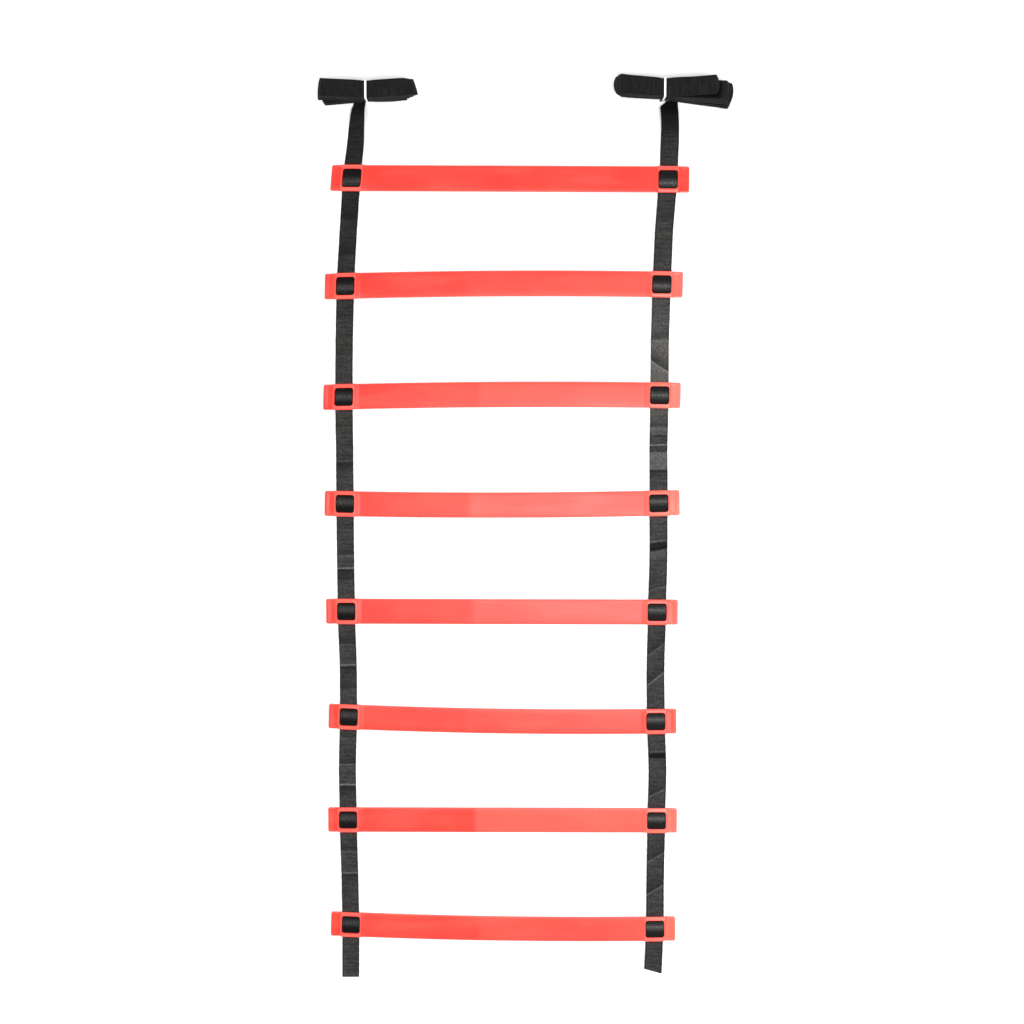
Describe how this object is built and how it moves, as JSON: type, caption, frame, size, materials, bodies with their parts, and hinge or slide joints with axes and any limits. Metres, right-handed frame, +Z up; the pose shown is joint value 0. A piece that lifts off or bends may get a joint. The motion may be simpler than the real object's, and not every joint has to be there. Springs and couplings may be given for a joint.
{
  "type": "agility ladder",
  "caption": "Flat training ladder: moulded plastic rungs threaded on two webbing straps, spare strap tied in hanks at one end; rungs slide and the spans fold up.",
  "frame": {"origin": "middle of the base of the whole ladder's box, on the ground that it lies on", "axes": "+Y along the straps towards the hanks, +X along the rungs to the right, +Z up from the ground"},
  "size_m": [0.478, 1.081, 0.026],
  "materials": {
    "rung_plastic": "semi-gloss moulded plastic, coral red",
    "webbing": "woven charcoal webbing",
    "tie_plastic": "soft white plastic"
  },
  "bodies": {
    "span_1": {"left_strap_1": "webbing", "right_strap_1": "webbing", "left_hank": "webbing", "right_hank": "webbing", "left_tie": "tie_plastic", "right_tie": "tie_plastic"},
    "span_2": {"left_strap_2": "webbing", "right_strap_2": "webbing"},
    "span_3": {"left_strap_3": "webbing", "right_strap_3": "webbing"},
    "span_4": {"left_strap_4": "webbing", "right_strap_4": "webbing"},
    "span_5": {"left_strap_5": "webbing", "right_strap_5": "webbing"},
    "span_6": {"left_strap_6": "webbing", "right_strap_6": "webbing"},
    "span_7": {"left_strap_7": "webbing", "right_strap_7": "webbing"},
    "span_8": {"left_strap_8": "webbing", "right_strap_8": "webbing"},
    "rung_1": {"rung_1": "rung_plastic"},
    "rung_2": {"rung_2": "rung_plastic"},
    "rung_3": {"rung_3": "rung_plastic"},
    "rung_4": {"rung_4": "rung_plastic"},
    "rung_5": {"rung_5": "rung_plastic"},
    "rung_6": {"rung_6": "rung_plastic"},
    "rung_7": {"rung_7": "rung_plastic"},
    "rung_8": {"rung_8": "rung_plastic"}
  },
  "joints": [
    {"name": "fold_1", "type": "hinge", "parent": "span_1", "child": "span_2", "pos_m": [-0.02297, 0.3625, 0.00235], "axis": [-1, 0, 0], "range_deg": [0, 160]},
    {"name": "fold_2", "type": "hinge", "parent": "span_2", "child": "span_3", "pos_m": [-0.02747, 0.23525, 0.00105], "axis": [1, 0, 0], "range_deg": [0, 160]},
    {"name": "fold_3", "type": "hinge", "parent": "span_3", "child": "span_4", "pos_m": [-0.02797, 0.106, 0.00235], "axis": [-1, 0, 0], "range_deg": [0, 160]},
    {"name": "fold_4", "type": "hinge", "parent": "span_4", "child": "span_5", "pos_m": [-0.02797, -0.02325, 0.00105], "axis": [1, 0, 0], "range_deg": [0, 160]},
    {"name": "fold_5", "type": "hinge", "parent": "span_5", "child": "span_6", "pos_m": [-0.02767, -0.154, 0.00235], "axis": [-1, 0, 0], "range_deg": [0, 160]},
    {"name": "fold_6", "type": "hinge", "parent": "span_6", "child": "span_7", "pos_m": [-0.02737, -0.28175, 0.00105], "axis": [1, 0, 0], "range_deg": [0, 160]},
    {"name": "fold_7", "type": "hinge", "parent": "span_7", "child": "span_8", "pos_m": [-0.02697, -0.4105, 0.00235], "axis": [-1, 0, 0], "range_deg": [0, 160]},
    {"name": "rung_1_slide", "type": "slide", "parent": "span_1", "child": "rung_1", "axis": [0.0758, 0.9971, 0], "range_m": [-0.032, 0.024]},
    {"name": "rung_2_slide", "type": "slide", "parent": "span_2", "child": "rung_2", "axis": [0.0353, 0.9994, 0], "range_m": [-0.032, 0.032]},
    {"name": "rung_3_slide", "type": "slide", "parent": "span_3", "child": "rung_3", "axis": [0.0039, 1, 0], "range_m": [-0.032, 0.032]},
    {"name": "rung_4_slide", "type": "slide", "parent": "span_4", "child": "rung_4", "axis": [0, 1, 0], "range_m": [-0.032, 0.032]},
    {"name": "rung_5_slide", "type": "slide", "parent": "span_5", "child": "rung_5", "axis": [-0.0023, 1, 0], "range_m": [-0.032, 0.032]},
    {"name": "rung_6_slide", "type": "slide", "parent": "span_6", "child": "rung_6", "axis": [-0.0023, 1, 0], "range_m": [-0.032, 0.032]},
    {"name": "rung_7_slide", "type": "slide", "parent": "span_7", "child": "rung_7", "axis": [-0.0031, 1, 0], "range_m": [-0.032, 0.032]},
    {"name": "rung_8_slide", "type": "slide", "parent": "span_8", "child": "rung_8", "axis": [-0.003, 1, 0], "range_m": [-0.032, 0.032]}
  ]
}
